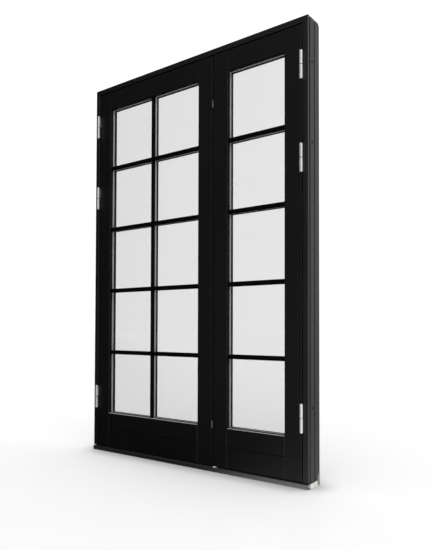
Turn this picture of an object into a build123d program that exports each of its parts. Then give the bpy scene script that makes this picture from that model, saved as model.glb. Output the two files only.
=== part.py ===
from build123d import *
import os
from dataclasses import dataclass
from math import atan2, cos, degrees, hypot, pi, radians, sin, tan

# A pair of glazed timber doors in their frame, in millimetres.
# X runs along the door set, Y from the outside to the room, Z up.
# The origin is the middle of the sill's underside.

# Overall frame
frame_width = 1390.0
frame_height = 2090.0
frame_depth = 115.0

# Jambs and head
frame_face = 27.5
frame_thickness = 42.0
front_groove_width = 9.0
middle_groove_width = 7.0
side_groove_depth = 8.0
side_groove_shares = (0.53, 0.155)
rear_notch_width = 4.0
rear_notch_depth = 14.0
arris = 2.0
jamb_foot_setback = 14.0

# Screw holes that fasten the jambs to a wall
fixing_radius = 6.0
fixing_setback = 40.0
top_fixing_drop = 198.0
second_fixing_drop = 560.0
low_fixing_rise = 350.0

# Sill and its nosing
sill_height = 22.5
sill_front = 20.0
sill_base_depth = 88.0
sill_stop_height = 51.0
sill_lip_setback = 91.5
sill_lip_thickness = 16.5
nosing_projection = 4.0
nosing_wall = 2.0
nosing_reach = 56.0
nosing_lift = 0.5
nosing_round = 3.0

# Weather gasket in the rebate
gasket_inset = 36.5
gasket_stem_width = 3.0
gasket_stem_depth = 6.0
gasket_bulb_width = 7.0
gasket_play = 0.3
gasket_bevel = 1.2

# Leaves
left_leaf_share = 0.625
leaf_thickness = 56.0
leaf_setback = 1.5
leaf_gap = 4.5
meeting_gap = 6.0
sill_gap = 5.0
stop_gap = 4.0
stile_width = 88.0
top_rail_height = 100.5
lower_rail_height = 93.0
bottom_rail_height = 101.5
joint_groove_height = 4.0
joint_groove_depth = 6.0
weathering_drop = 6.0
tenon_length = 34.0
tenon_thickness = 16.0
tenon_shoulder = 16.0

# Glazing
glass_setback = 18.0
glass_thickness = 4.0
glass_space = 16.0
rebate_height = 15.0
glass_edge_gap = 4.0
spacer_height = 7.0
spacer_bar_width = 17.0
bar_width = 21.0
outer_bar_depth = 12.0
inner_bar_depth = 10.0
bar_bevel = 4.0
bead_chamfer = 3.0
pane_rows = 5
block_length = 50.0
block_side_gap = 0.5
block_place_shares = (0.2, 0.8)

# Lift-off hinges
barrel_radius = 7.5
barrel_length = 124.0
barrel_offset = 8.5
knuckle_gap = 2.4
hinge_pin_radius = 4.0
hinge_pin_length = 50.0
hinge_pin_play = 0.05
hinge_pin_end_gap = 0.5
hinge_plate_thickness = 2.5
hinge_plate_reach = 34.0
hinge_plate_inset = 6.0
top_hinge_drop = 187.5
second_hinge_drop = 603.5
low_hinge_rise = 279.5

# Seals and pads on the meeting edges
seal_setback = 12.0
seal_stem_width = 2.5
seal_stem_depth = 5.0
seal_lip_width = 6.0
seal_lip_height = 2.6
pad_height = 36.0
pad_width = 5.0
pad_thickness = 2.5
pad_setback = 3.0
pad_bevel = 1.2

# Lock in the left leaf's meeting edge
faceplate_width = 18.0
faceplate_thickness = 2.5
faceplate_setback = 21.0
faceplate_overlap = 60.0
faceplate_end_round = 8.0
lock_channel_width = 16.5
rod_thickness = 4.0
rod_width = 8.0
rod_play = 0.5
upper_bolt_drop = 240.5
lower_bolt_rise = 200.0
bolt_height = 20.0
bolt_thickness = 10.0
bolt_length = 31.5
bolt_play = 0.5
bolt_throw = 13.0
bolt_bevel = 2.0
cam_pin_radius = 3.0
cam_pin_setback = 8.0
cam_slot_play = 0.3
cam_margin = 5.0

# Rack and pinion
gear_module = 1.5
pinion_teeth = 22
rack_teeth_above = 2
rack_teeth_below = 8
gear_backlash = 0.3
pressure_angle = 20.0
dedendum_share = 1.25
handle_turn = 90.0
pinion_side_play = 0.4
hub_radius = 8.0
hub_play = 0.06
case_wall = 3.6
case_height = 48.0
case_back_gap = 1.0
case_front_gap = 2.0

# Handle on the room side
handle_rise = 990.0
spindle_side = 8.0
spindle_grip = 24.0
spindle_hole_radius = 7.0
rose_width = 34.0
rose_height = 132.0
rose_thickness = 8.0
rose_bevel = 1.5
lever_radius = 8.0
lever_reach = 118.0
lever_standoff = 46.0
lever_bevel = 1.0
lever_play = 0.08
lever_end_gap = 0.5

# Flush bolts in the right leaf's meeting edge
flush_bolt_radius = 5.0
flush_bolt_length = 110.0
flush_bolt_backset = 14.5
flush_bolt_setback = 28.0
flush_bolt_play = 0.4
flush_bolt_draw = 1.0
flush_bolt_throw = 18.0
flush_bore_spare = 20.0
flush_plate_width = 18.0
flush_plate_length = 150.0
flush_plate_thickness = 2.5
thumb_width = 6.0
thumb_height = 12.0
thumb_inset = 0.4
thumb_place = 90.0
keep_width = 16.0
keep_tail = 22.0
head_keep_lead = 22.0
sill_keep_lead = 29.0
keep_thickness = 3.5
keep_play = 0.6
keep_bore_depth = 18.0
bolt_keep_height = 48.0
bolt_keep_pocket = 12.0

# One overrun serves every cut
overrun = 1.0

# Places worked out from the sizes above
half_width = frame_width / 2
y_front = -frame_depth / 2
leaf_front = y_front + leaf_setback
leaf_back = leaf_front + leaf_thickness
stop_front = leaf_back + stop_gap
sill_back = y_front + sill_base_depth
leaf_bottom = sill_height + sill_gap
leaf_top = frame_height - frame_face - leaf_gap
hinge_y = y_front - barrel_offset
hinge_heights = (leaf_bottom + low_hinge_rise, leaf_top - second_hinge_drop, leaf_top - top_hinge_drop)
fixing_heights = (low_fixing_rise, frame_height - second_fixing_drop, frame_height - top_fixing_drop)
sight_bottom = leaf_bottom + bottom_rail_height + lower_rail_height
sight_top = leaf_top - top_rail_height
outer_glass_front = leaf_front + glass_setback
spacer_front = outer_glass_front + glass_thickness
inner_glass_front = spacer_front + glass_space
bead_front = inner_glass_front + glass_thickness

LEFT = -1
RIGHT = 1


@dataclass(frozen=True)
class Leaf:
    """One door leaf: its two edges, the side it hangs on and its panes across."""
    name: str
    start: float
    end: float
    hinge_side: int
    columns: int

    @property
    def sight(self):
        """Left and right edges of the glass that shows."""
        return self.start + stile_width, self.end - stile_width

    def edge(self, side):
        """X of the leaf's left or right edge."""
        return self.start if side == LEFT else self.end


leaf_reach = half_width - frame_face - leaf_gap
left_leaf_width = left_leaf_share * (2 * leaf_reach - meeting_gap)
left_leaf = Leaf("left", -leaf_reach, left_leaf_width - leaf_reach, LEFT, 2)
right_leaf = Leaf("right", left_leaf.end + meeting_gap, leaf_reach, RIGHT, 1)

# Lock places, taken from the left leaf's meeting edge
lock_edge = left_leaf.end
rod_back = leaf_front + faceplate_setback + bolt_play + rod_play
rod_front_x = lock_edge - faceplate_thickness - rod_play
rod_inner_x = rod_front_x - rod_width
pitch_radius = gear_module * pinion_teeth / 2
tooth_pitch = pi * gear_module
handle_x = rod_inner_x + gear_module - pitch_radius
handle_z = leaf_bottom + handle_rise
rod_travel = pitch_radius * radians(handle_turn)
bolt_heights = (leaf_bottom + lower_bolt_rise, leaf_top - upper_bolt_drop)
bolt_y0 = rod_back + rod_thickness + bolt_play
bolt_y1 = bolt_y0 + bolt_thickness
pinion_y0 = rod_back - rod_play
pinion_y1 = rod_back + rod_thickness + rod_play
case_y0 = pinion_y0 - pinion_side_play - case_wall
case_y1 = pinion_y1 + pinion_side_play + case_wall
pinion_tip = pitch_radius + gear_module
case_back_x = handle_x - pinion_tip - case_back_gap - case_wall
case_front_x = rod_inner_x - case_front_gap
flush_x = right_leaf.start + flush_bolt_backset
flush_y = leaf_front + flush_bolt_setback


def between(a, b):
    """Two values in rising order."""
    return min(a, b), max(a, b)


def block(x0, x1, y0, y1, z0, z1):
    """A box between two corners."""
    centre = Pos((x0 + x1) / 2, (y0 + y1) / 2, (z0 + z1) / 2)
    return centre * Box(x1 - x0, y1 - y0, z1 - z0)


def rod_z(x, y, z0, z1, radius):
    """An upright round bar between two heights."""
    return Pos(x, y, (z0 + z1) / 2) * Cylinder(radius, z1 - z0)


def bore_y(x, z, y0, y1, radius):
    """A round bar through the door's thickness."""
    return Pos(x, (y0 + y1) / 2, z) * Rot(90, 0, 0) * Cylinder(radius, y1 - y0)


def outline(points, rounded=(), radius=arris):
    """A closed face through the points, with the numbered corners rounded."""
    face = make_face(Polyline(*points, close=True))
    if rounded:
        corners = [face.vertices().sort_by_distance((*points[i], 0))[0] for i in rounded]
        face = fillet(corners, radius)
    return face


def along_x(face, x0, x1):
    """The solid of a Y-Z outline between two places along the door set."""
    return extrude(Plane.YZ.offset(x0) * face, amount=x1 - x0)


def along_y(face, y0, y1):
    """The solid of an X-Z outline between two depths."""
    return extrude(Plane.XZ.offset(-y0) * face, amount=y0 - y1)


def along_z(face, z0, z1):
    """The solid of an X-Y outline between two heights."""
    return extrude(Pos(0, 0, z0) * face, amount=z1 - z0)


def panel(x0, x1, z0, z1):
    """A rectangle between two corners."""
    return Pos((x0 + x1) / 2, (z0 + z1) / 2) * Rectangle(x1 - x0, z1 - z0)


def ring(x0, x1, z0, z1, half_wall):
    """A rectangular X-Z ring whose wall is centred on the given lines."""
    outer = panel(x0 - half_wall, x1 + half_wall, z0 - half_wall, z1 + half_wall)
    return outer - panel(x0 + half_wall, x1 - half_wall, z0 + half_wall, z1 - half_wall)


def outer_points():
    """Notch and grooves of the outer side, from the rear: distance in from it, and depth from the front."""
    rear = frame_depth - rear_notch_depth
    points = [(rear_notch_width, frame_depth), (rear_notch_width, rear), (0, rear)]
    for share, width in zip(side_groove_shares, (middle_groove_width, front_groove_width)):
        centre, half = share * frame_depth, width / 2
        points += [(0, centre + half), (side_groove_depth, centre + half),
                   (side_groove_depth, centre - half), (0, centre - half)]
    return points


def frame_points():
    """Section of jamb and head: distance in from the outer side, and depth from the front."""
    stop = stop_front - y_front
    return [(0, 0), (frame_face, 0), (frame_face, stop), (frame_thickness, stop),
            (frame_thickness, frame_depth), *outer_points()]


def milled_ends(solid):
    """A piece that runs the frame's whole width, its ends milled as the jambs' outer sides are."""
    plan = [(half_width - u, y_front + y) for u, y in [*outer_points(), (0, 0)]]
    corner = len(plan) - 1
    plan += [(-x, y) for x, y in reversed(plan)]
    reach, back = half_width + overrun, frame_depth / 2 + overrun
    waste = panel(-reach, reach, -back, back) - outline(plan, (corner, corner + 1))
    return solid - along_z(waste, -overrun, frame_height + overrun)


def gasket_lines():
    """The rectangle that the middle of the rebate gasket follows: left, right, bottom, top."""
    reach = half_width - gasket_inset
    low = sill_stop_height - (frame_thickness - gasket_inset)
    return -reach, reach, low, frame_height - gasket_inset


def frame_gasket():
    """Bulb gasket with its stem pressed into the groove round the rebate."""
    lines = gasket_lines()
    stem = along_y(ring(*lines, gasket_stem_width / 2), stop_front, stop_front + gasket_stem_depth)
    bulb_front = stop_front - stop_gap + gasket_play
    bulb = along_y(ring(*lines, gasket_bulb_width / 2), bulb_front, stop_front)
    bulb = chamfer(bulb.faces().sort_by(Axis.Y)[0].edges(), gasket_bevel)
    return stem + bulb


def head_blank():
    """The head's moulded section over the whole width."""
    face = outline([(y_front + y, frame_height - u) for u, y in frame_points()], (0, 1))
    return along_x(face, -half_width, half_width)


def head():
    """Head with its gasket groove and the hole for the right leaf's top bolt."""
    underside = frame_height - frame_face
    bore = rod_z(flush_x, flush_y, underside - overrun, underside + keep_bore_depth,
                 flush_bolt_radius + keep_play)
    return milled_ends(head_blank()) - frame_gasket() - bore - keep_plate(underside, head_keep_lead)


def sill():
    """Pale sill base under leaves and jambs, stepped down under the nosing's plate."""
    front = y_front + sill_front
    plate_back = y_front + nosing_reach
    plate_top = sill_height - nosing_wall
    section = outline([(front, 0), (front, plate_top), (plate_back, plate_top), (plate_back, sill_height),
                       (sill_back, sill_height), (sill_back, 0)])
    base = along_x(section, -half_width, half_width)
    bore = rod_z(flush_x, flush_y, sill_height - keep_bore_depth, sill_height, flush_bolt_radius + keep_play)
    return milled_ends(base) - bore


def sill_stop():
    """Grey stop that the leaves close on: it lies over the sill's back and runs on behind the jambs."""
    lip_front = y_front + sill_lip_setback
    lip_back = lip_front + sill_lip_thickness
    inner = half_width - frame_thickness
    section = outline([(stop_front, sill_height), (stop_front, sill_stop_height),
                       (lip_back, sill_stop_height), (lip_back, 0), (sill_back, 0),
                       (sill_back, sill_height)], (1,))
    bar = along_x(section, -inner, inner)
    lip = block(-half_width, half_width, lip_front, lip_back, 0, sill_stop_height)
    return bar + milled_ends(lip) - frame_gasket()


def sill_nosing():
    """Aluminium cap: rounded nose, short return below and a plate under the leaves."""
    nose = y_front - nosing_projection
    back = y_front + nosing_reach
    cap = outline([(nose, nosing_lift), (nose, sill_height), (back, sill_height), (back, nosing_lift)],
                  (0, 1), nosing_round)
    inside = nosing_lift + nosing_wall
    ceiling = sill_height - nosing_wall
    inner_nose = nose + nosing_wall
    hollow = outline([(inner_nose, inside), (inner_nose, ceiling), (back + overrun, ceiling),
                      (back + overrun, inside)], (0, 1), nosing_round - nosing_wall)
    return_end = y_front + sill_front
    below = outline([(return_end, nosing_lift - overrun), (return_end, ceiling),
                     (back + overrun, ceiling), (back + overrun, nosing_lift - overrun)])
    bore = rod_z(flush_x, flush_y, ceiling - overrun, sill_height + overrun, flush_bolt_radius + keep_play)
    return along_x(cap - hollow - below, -half_width, half_width) - bore


def jamb(side):
    """Left or right jamb, scribed to head and sill, with a drip gap at its foot and its screw holes."""
    outer = side * half_width
    section = outline([(outer - side * u, y_front + y) for u, y in frame_points()], (0, 1))
    post = along_z(section, 0, frame_height - frame_face)
    inner = outer - side * (frame_thickness + overrun)
    face, setback = y_front - overrun, y_front + jamb_foot_setback
    foot = block(*between(outer, inner), face, sill_back, -overrun, sill_height)
    drip = block(*between(outer, inner), face, setback, -overrun, leaf_bottom)
    post = post - head_blank() - sill_stop() - foot - drip - frame_gasket()
    inner = outer - side * (frame_face + overrun)
    for height in fixing_heights:
        centre = Pos((outer + inner) / 2, y_front + fixing_setback, height)
        post -= centre * Rot(0, 90, 0) * Cylinder(fixing_radius, frame_face + overrun + overrun)
    for height in hinge_heights:
        post -= frame_hinge(side, height)
    return post


def hinge_x(side):
    """X of a hinge pin: the middle of the gap between jamb and leaf."""
    return side * (half_width - frame_face - leaf_gap / 2)


def hinge_half(side, z0, z1, plate_z, toward):
    """Half a hinge: a knuckle on the pin's line and a plate let into the timber.

    toward is 1 where the plate lies on the jamb's side of the gap and -1 on the leaf's.
    """
    x = hinge_x(side)
    near = x + side * toward * leaf_gap / 2
    far = near + side * toward * hinge_plate_thickness
    plate = block(*between(near, far), hinge_y, y_front + hinge_plate_reach, *plate_z)
    return rod_z(x, hinge_y, z0, z1, barrel_radius) + plate


def pin_heights(height):
    """Foot and tip of a hinge pin, which stands out of the lower knuckle."""
    foot = height - knuckle_gap / 2
    return foot, foot + hinge_pin_length


def frame_hinge(side, height):
    """Lower half of a hinge, on the jamb, with its pin."""
    z0 = height - barrel_length / 2
    foot, tip = pin_heights(height)
    half = hinge_half(side, z0, foot, (z0 + hinge_plate_inset, foot), 1)
    return half + rod_z(hinge_x(side), hinge_y, foot - overrun, tip, hinge_pin_radius)


def leaf_hinge(side, height):
    """Upper half of a hinge, on the leaf: it drops over the pin."""
    z0 = height + knuckle_gap / 2
    z1 = height + barrel_length / 2
    half = hinge_half(side, z0, z1, (z0, z1 - hinge_plate_inset), -1)
    end = pin_heights(height)[1] + hinge_pin_end_gap
    return half - rod_z(hinge_x(side), hinge_y, z0, end, hinge_pin_radius + hinge_pin_play)


def stile_blank(leaf, side, rounded=()):
    """A stile's rebated section over the height of the leaf."""
    depth = stile_width - rebate_height
    section = [(0, 0), (stile_width, 0), (stile_width, glass_setback), (depth, glass_setback),
               (depth, leaf_thickness), (0, leaf_thickness)]
    edge = leaf.edge(side)
    points = [(edge - side * s, leaf_front + t) for s, t in section]
    return along_z(outline(points, rounded), leaf_bottom, leaf_top)


def rail_sections():
    """Each rail's Y-Z section, the corners to round and its height range."""
    joint = leaf_bottom + bottom_rail_height
    face, glass, back = leaf_front, outer_glass_front, leaf_back
    top = [(face, leaf_top), (face, sight_top), (glass, sight_top),
           (glass, sight_top + rebate_height), (back, sight_top + rebate_height), (back, leaf_top)]
    lower = [(face, joint), (face, sight_bottom - weathering_drop), (glass, sight_bottom),
             (glass, sight_bottom - rebate_height), (back, sight_bottom - rebate_height), (back, joint)]
    groove, edge = face + joint_groove_depth, joint - joint_groove_height
    bottom = [(face, leaf_bottom), (face, edge), (groove, edge), (groove, joint), (back, joint),
              (back, leaf_bottom)]
    return {
        "top_rail": (top, (0, 1), sight_top + rebate_height, leaf_top),
        "lower_rail": (lower, (0, 1), joint, sight_bottom - rebate_height),
        "bottom_rail": (bottom, (0, 1), leaf_bottom, joint),
    }


def tenons(leaf, kind):
    """The two tenons of a rail, one into each stile."""
    low, high = rail_sections()[kind][2:]
    y0 = (leaf_front + leaf_back - tenon_thickness) / 2
    made = []
    for side in (LEFT, RIGHT):
        root = leaf.edge(side) - side * (stile_width - rebate_height)
        tip = root + side * tenon_length
        made.append(block(*between(root, tip), y0, y0 + tenon_thickness,
                          low + tenon_shoulder, high - tenon_shoulder))
    return made


def rail(leaf, kind):
    """A rail coped over the stiles' rebates, with a tenon at each end."""
    points, rounded = rail_sections()[kind][:2]
    inset = stile_width - rebate_height
    bar = along_x(outline(points, rounded), leaf.start + inset, leaf.end - inset)
    for side in (LEFT, RIGHT):
        bar -= stile_blank(leaf, side)
    for tenon in tenons(leaf, kind):
        bar += tenon
    return bar


def stile(leaf, side):
    """A stile with eased arrises and the mortises for its rails."""
    post = stile_blank(leaf, side, (0, 1, 5))
    for kind in rail_sections():
        post -= tenons(leaf, kind)[(side + 1) // 2]
    return post


def hinge_stile(leaf):
    """The stile that hangs on the jamb, let in for its hinge plates."""
    post = stile(leaf, leaf.hinge_side)
    for height in hinge_heights:
        post -= leaf_hinge(leaf.hinge_side, height)
    return post


def seal_groove(leaf):
    """The saw kerf that holds a meeting edge's seal."""
    side = -leaf.hinge_side
    edge = leaf.edge(side)
    root = edge - side * seal_stem_depth
    y0 = leaf_front + seal_setback
    return block(*between(root, edge), y0, y0 + seal_stem_width, leaf_bottom, leaf_top)


def meeting_seal(leaf):
    """Stem in its kerf and a soft lip that stands half across the meeting gap."""
    side = -leaf.hinge_side
    edge = leaf.edge(side)
    tip = edge + side * seal_lip_height
    centre = leaf_front + seal_setback + seal_stem_width / 2
    half = seal_lip_width / 2
    lip = along_z(make_face([Line((edge, centre - half), (edge, centre + half)),
                             ThreePointArc((edge, centre + half), (tip, centre), (edge, centre - half))]),
                  leaf_bottom, leaf_top)
    return seal_groove(leaf) + lip


def meeting_pads():
    """Small spacing pads near the front of the left leaf's meeting edge."""
    y0 = leaf_front + pad_setback
    pads = []
    for height in bolt_heights:
        pad = block(lock_edge, lock_edge + pad_thickness, y0, y0 + pad_width,
                    height - pad_height / 2, height + pad_height / 2)
        pads.append(chamfer(pad.faces().sort_by(Axis.X)[-1].edges(), pad_bevel))
    return pads


def left_meeting_stile():
    """Active leaf's lock stile: faceplate recess, rod channel, bolt and gear pockets."""
    post = stile(left_leaf, RIGHT) - seal_groove(left_leaf) - faceplate_blank()
    channel_y0 = leaf_front + faceplate_setback
    channel_y1 = channel_y0 + lock_channel_width
    low, high = faceplate_heights()
    inner = rod_inner_x - rod_play
    ends = (low + faceplate_width, high - faceplate_width)
    post -= block(inner, lock_edge, channel_y0, channel_y1, *ends)
    for height in bolt_heights:
        pocket_back = lock_edge - bolt_length - bolt_play - bolt_play
        low_end, high_end = cam_heights(height)
        post -= block(pocket_back, lock_edge, channel_y0, channel_y1,
                      low_end - overrun, high_end + rod_travel + overrun)
    half = case_height / 2
    post -= block(case_back_x, lock_edge, case_y0, case_y1, handle_z - half, handle_z + half)
    return post - bore_y(handle_x, handle_z, case_y0, leaf_back + overrun, spindle_hole_radius)


def faceplate_heights():
    """Lower and upper end of the lock's faceplate."""
    return bolt_heights[0] - faceplate_overlap, bolt_heights[1] + faceplate_overlap


def faceplate_blank():
    """The long plate let flush into the meeting edge, round at both ends."""
    low, high = faceplate_heights()
    strip = Rectangle(faceplate_width, high - low)
    strip = fillet(strip.vertices(), faceplate_end_round)
    middle = leaf_front + faceplate_setback + lock_channel_width / 2
    return extrude(Plane.YZ.offset(lock_edge - faceplate_thickness) * Pos(middle, (low + high) / 2) * strip,
                   amount=faceplate_thickness)


def lock_faceplate():
    """Faceplate with a window for each bolt."""
    plate = faceplate_blank()
    half = bolt_height / 2 + bolt_play
    for height in bolt_heights:
        plate -= block(lock_edge - faceplate_thickness - overrun, lock_edge + overrun,
                       bolt_y0 - bolt_play, bolt_y1 + bolt_play, height - half, height + half)
    return plate


def cam_heights(height):
    """Lower and upper end of the rod's cam plate for the bolt at a height."""
    rim = cam_pin_radius + cam_slot_play + cam_margin
    return height - rod_travel - rim, height + rim


def cam_pin_x():
    """X of a bolt's cam pin while the bolt is withdrawn."""
    return lock_edge - bolt_length + cam_pin_setback


def rack_gap(centre):
    """One tooth space of the rack, open towards the pinion."""
    slope = tan(radians(pressure_angle))
    half = (tooth_pitch / 2 + gear_backlash / 2) / 2
    tip = rod_inner_x
    depth = gear_module * (1 + dedendum_share)
    wide = half + gear_module * slope
    narrow = half - gear_module * dedendum_share * slope
    mouth = wide + overrun * slope
    return outline([(tip - overrun, centre - mouth), (tip + depth, centre - narrow),
                    (tip + depth, centre + narrow), (tip - overrun, centre + mouth)])


def drive_rod():
    """Flat lock rod: rack at the handle and a sloping cam slot for each bolt."""
    face = panel(rod_inner_x, rod_front_x, cam_heights(bolt_heights[0])[0], cam_heights(bolt_heights[1])[1])
    start = cam_pin_x()
    rim = cam_pin_radius + cam_slot_play
    for height in bolt_heights:
        face += panel(start - rim - cam_margin, rod_front_x, *cam_heights(height))
    slot_length = hypot(bolt_throw, rod_travel)
    slot_tilt = degrees(atan2(-rod_travel, bolt_throw))
    for height in bolt_heights:
        middle = Pos(start + bolt_throw / 2, height - rod_travel / 2)
        face -= middle * Rot(0, 0, slot_tilt) * SlotCenterToCenter(slot_length, rim * 2)
    for step in range(-rack_teeth_below, rack_teeth_above + 1):
        face -= rack_gap(handle_z + step * tooth_pitch)
    return along_y(face, rod_back, rod_back + rod_thickness)


def lock_bolt(height):
    """A flat bolt with the cam pin that the rod pushes."""
    half = bolt_height / 2
    front = lock_edge - bolt_play
    bolt = block(lock_edge - bolt_length - bolt_play, front, bolt_y0, bolt_y1, height - half, height + half)
    bolt = chamfer(bolt.faces().sort_by(Axis.X)[-1].edges(), bolt_bevel)
    return bolt + bore_y(cam_pin_x(), height, rod_back - rod_play, bolt_y0, cam_pin_radius)


def involute_point(base, radius, turn):
    """The point at a radius on an involute that leaves its base circle, turned by an angle."""
    unwound = (max(radius / base, 1.0) ** 2 - 1) ** 0.5
    angle = turn + unwound - atan2(unwound, 1)
    return radius * cos(angle), radius * sin(angle)


def pinion():
    """Involute pinion with bearing hubs and a square hole for the spindle."""
    tilt = radians(pressure_angle)
    base = pitch_radius * cos(tilt)
    root = pitch_radius - gear_module * dedendum_share
    half_tooth = (tooth_pitch / 2 - gear_backlash / 2) / 2 / pitch_radius
    turn = -(half_tooth + tan(tilt) - tilt)
    gear = Circle(root)
    flank = [(root * cos(turn) * cos(half_tooth), root * sin(turn))]
    flank += [involute_point(base, r, turn) for r in (base, (base + pinion_tip) / 2, pinion_tip)]
    tooth = outline(flank + [(x, -z) for x, z in reversed(flank)])
    for step in range(pinion_teeth):
        gear += Rot(0, 0, 360 * step / pinion_teeth) * tooth
    gear = along_y(Pos(handle_x, handle_z) * gear, pinion_y0, pinion_y1)
    hub = bore_y(handle_x, handle_z, case_y0, case_y1, hub_radius)
    half = spindle_side / 2
    hole = block(handle_x - half, handle_x + half, case_y0 - overrun, case_y1 + overrun,
                 handle_z - half, handle_z + half)
    return gear + hub - hole


def gear_case():
    """Folded steel case: a back wall and two cheeks that carry the pinion's hubs."""
    half = case_height / 2
    case = block(case_back_x, case_front_x, case_y0, case_y1, handle_z - half, handle_z + half)
    case -= block(case_back_x + case_wall, case_front_x + overrun, case_y0 + case_wall, case_y1 - case_wall,
                  handle_z - half - overrun, handle_z + half + overrun)
    return case - bore_y(handle_x, handle_z, case_y0 - overrun, case_y1 + overrun, hub_radius + hub_play)


def spindle():
    """Square bar from the pinion into the lever's neck."""
    half = spindle_side / 2
    return block(handle_x - half, handle_x + half, case_y0, leaf_back + spindle_grip,
                 handle_z - half, handle_z + half)


def handle_rose():
    """Oblong plate under the lever, on the room side."""
    plate = along_y(Pos(handle_x, handle_z) * Rot(0, 0, 90) * SlotOverall(rose_height, rose_width),
                    leaf_back, leaf_back + rose_thickness)
    plate = chamfer(plate.faces().sort_by(Axis.Y)[-1].edges(), rose_bevel)
    return plate - bore_y(handle_x, handle_z, leaf_back - overrun, leaf_back + rose_thickness + overrun,
                          lever_radius + lever_play)


def handle_lever():
    """Round lever: neck out of the rose, a mitred corner and a straight grip with a bevelled end."""
    start = leaf_back + lever_end_gap
    reach = leaf_back + lever_standoff
    path = Polyline((handle_x, start, handle_z), (handle_x, reach, handle_z),
                    (handle_x - lever_reach, reach, handle_z))
    section = Plane(origin=path @ 0, z_dir=path % 0) * Circle(lever_radius)
    lever = sweep(section, path=path, transition=Transition.RIGHT)
    lever = chamfer(lever.faces().sort_by(Axis.X)[0].edges(), lever_bevel)
    return lever - spindle()


def bolt_keeps():
    """Keep plates in the right leaf's meeting edge, one for each lock bolt."""
    return [keep_blank(height) - keep_window(height, faceplate_thickness) for height in bolt_heights]


def keep_blank(height):
    """A keep plate's outline, let flush into the edge."""
    edge = right_leaf.start
    middle = (bolt_y0 + bolt_y1) / 2
    half = faceplate_width / 2
    return block(edge, edge + faceplate_thickness, middle - half, middle + half,
                 height - bolt_keep_height / 2, height + bolt_keep_height / 2)


def keep_window(height, depth):
    """The space that a lock bolt enters."""
    edge = right_leaf.start
    half = bolt_height / 2 + keep_play
    return block(edge - overrun, edge + depth + overrun, bolt_y0 - keep_play, bolt_y1 + keep_play,
                 height - half, height + half)


def flush_place(end):
    """Height of the leaf's end and of a flush bolt's thumb piece; end is 1 at the top, -1 below."""
    tip = leaf_top if end > 0 else leaf_bottom
    return tip, tip - end * thumb_place


def flush_plate(end):
    """Outline of a flush bolt's edge plate, let flush into the edge."""
    tip, thumb = flush_place(end)
    half = flush_plate_width / 2
    return block(right_leaf.start, right_leaf.start + flush_plate_thickness, flush_y - half, flush_y + half,
                 *between(tip, tip - end * flush_plate_length))


def thumb_slot(end):
    """The space that a flush bolt's thumb piece runs in."""
    tip, thumb = flush_place(end)
    half = thumb_width / 2 + flush_bolt_play
    near = thumb - end * (thumb_height / 2 + flush_bolt_play)
    far = thumb + end * (thumb_height / 2 + flush_bolt_play + flush_bolt_throw)
    return block(right_leaf.start - overrun, flush_x, flush_y - half, flush_y + half, *between(near, far))


def flush_bolt_plates():
    """The top and bottom edge plates."""
    return [flush_plate(end) - thumb_slot(end) for end in (1, -1)]


def flush_bolt(end):
    """Round flush bolt with its thumb piece, drawn into the leaf."""
    tip, thumb = flush_place(end)
    outer = tip - end * flush_bolt_draw
    bolt = rod_z(flush_x, flush_y, *between(outer, outer - end * flush_bolt_length), flush_bolt_radius)
    half = thumb_width / 2
    piece = block(right_leaf.start + thumb_inset, flush_x, flush_y - half, flush_y + half,
                  thumb - thumb_height / 2, thumb + thumb_height / 2)
    return bolt + piece


def flush_bore(end):
    """The hole in the stile that a flush bolt slides in."""
    tip, thumb = flush_place(end)
    inner = tip - end * (flush_bolt_length + flush_bore_spare)
    return rod_z(flush_x, flush_y, *between(tip + end * overrun, inner), flush_bolt_radius + flush_bolt_play)


def right_meeting_stile():
    """Passive leaf's meeting stile: keeps for the lock and bores for the flush bolts."""
    post = stile(right_leaf, LEFT) - seal_groove(right_leaf)
    for height in bolt_heights:
        post = post - keep_blank(height) - keep_window(height, bolt_keep_pocket)
    for end in (1, -1):
        post = post - flush_plate(end) - thumb_slot(end) - flush_bore(end)
    return post


def keep_plate(bottom, lead):
    """A round-bolt keep lying on the given height; lead is how far it reaches in front of the bolt."""
    plate = block(flush_x - keep_width / 2, flush_x + keep_width / 2, flush_y - lead, flush_y + keep_tail,
                  bottom, bottom + keep_thickness)
    return plate - rod_z(flush_x, flush_y, bottom - overrun, bottom + keep_thickness + overrun,
                         flush_bolt_radius + keep_play)


def flush_bolt_keeps():
    """The keep let into the head and the keep on the sill, whose front edge shows."""
    return [keep_plate(frame_height - frame_face, head_keep_lead), keep_plate(sill_height, sill_keep_lead)]


def pane_centres(leaf):
    """X of the upright bars and Z of the level bars, at equal panes."""
    x0, x1 = leaf.sight
    pane = (x1 - x0 - bar_width * (leaf.columns - 1)) / leaf.columns
    tall = (sight_top - sight_bottom - bar_width * (pane_rows - 1)) / pane_rows
    uprights = [x0 + pane * i + bar_width * (i - 0.5) for i in range(1, leaf.columns)]
    levels = [sight_bottom + tall * i + bar_width * (i - 0.5) for i in range(1, pane_rows)]
    return uprights, levels


def glass(leaf, front):
    """One sheet of the sealed unit."""
    x0, x1 = leaf.sight
    lap = rebate_height - glass_edge_gap
    return block(x0 - lap, x1 + lap, front, front + glass_thickness, sight_bottom - lap, sight_top + lap)


def spacer(leaf):
    """Aluminium spacer round the sealed unit, with a bar behind each glazing bar."""
    x0, x1 = leaf.sight
    half = spacer_height / 2
    face = ring(x0 - half, x1 + half, sight_bottom - half, sight_top + half, half)
    uprights, levels = pane_centres(leaf)
    side = spacer_bar_width / 2
    for x in uprights:
        face += panel(x - side, x + side, sight_bottom, sight_top)
    for z in levels:
        face += panel(x0, x1, z - side, z + side)
    return along_y(face, spacer_front, inner_glass_front)


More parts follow.
